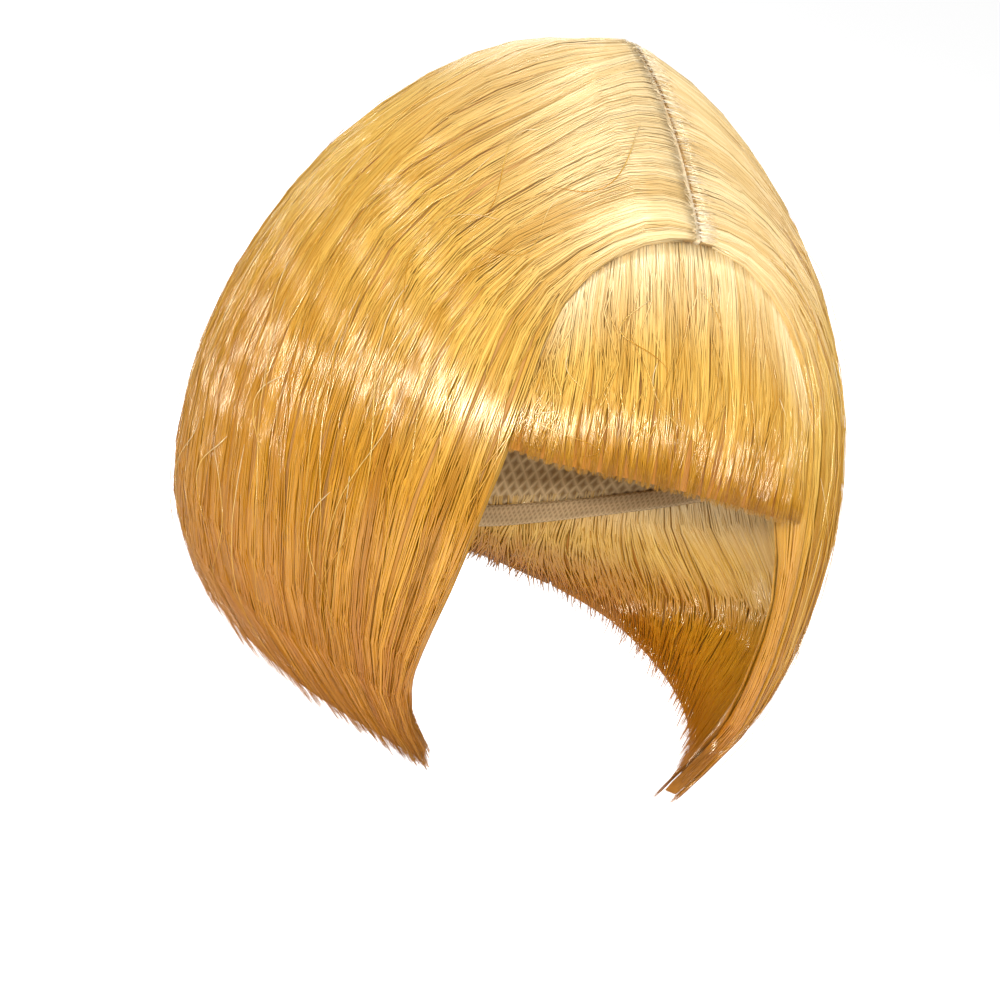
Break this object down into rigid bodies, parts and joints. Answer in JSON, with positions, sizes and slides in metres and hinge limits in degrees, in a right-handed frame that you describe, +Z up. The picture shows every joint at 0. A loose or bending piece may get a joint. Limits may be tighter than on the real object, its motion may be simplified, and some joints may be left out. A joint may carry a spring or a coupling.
{
  "type": "disco wig",
  "caption": "Blonde synthetic bob wig with a high crown, centre parting, straight fringe and inward-curling sides, on an open net cap that fits over a head.",
  "frame": {"origin": "the point inside the top of the cap that rests on the crown of the wearer's head", "axes": "+Z up, -Y out of the face opening, +X to the wearer's left"},
  "size_m": [0.2428, 0.2373, 0.249],
  "materials": {
    "blonde_fibre": "glossy synthetic fibre in locks",
    "parting_fibre": "pale sewn strip",
    "net": "wefted net",
    "elastic": "woven elastic"
  },
  "bodies": {
    "root": {"cap": "net", "edge_band": "elastic", "parting_strip": "parting_fibre", "fringe": "blonde_fibre", "side_right": "blonde_fibre", "side_left": "blonde_fibre", "back_hair": "blonde_fibre"}
  },
  "joints": []
}
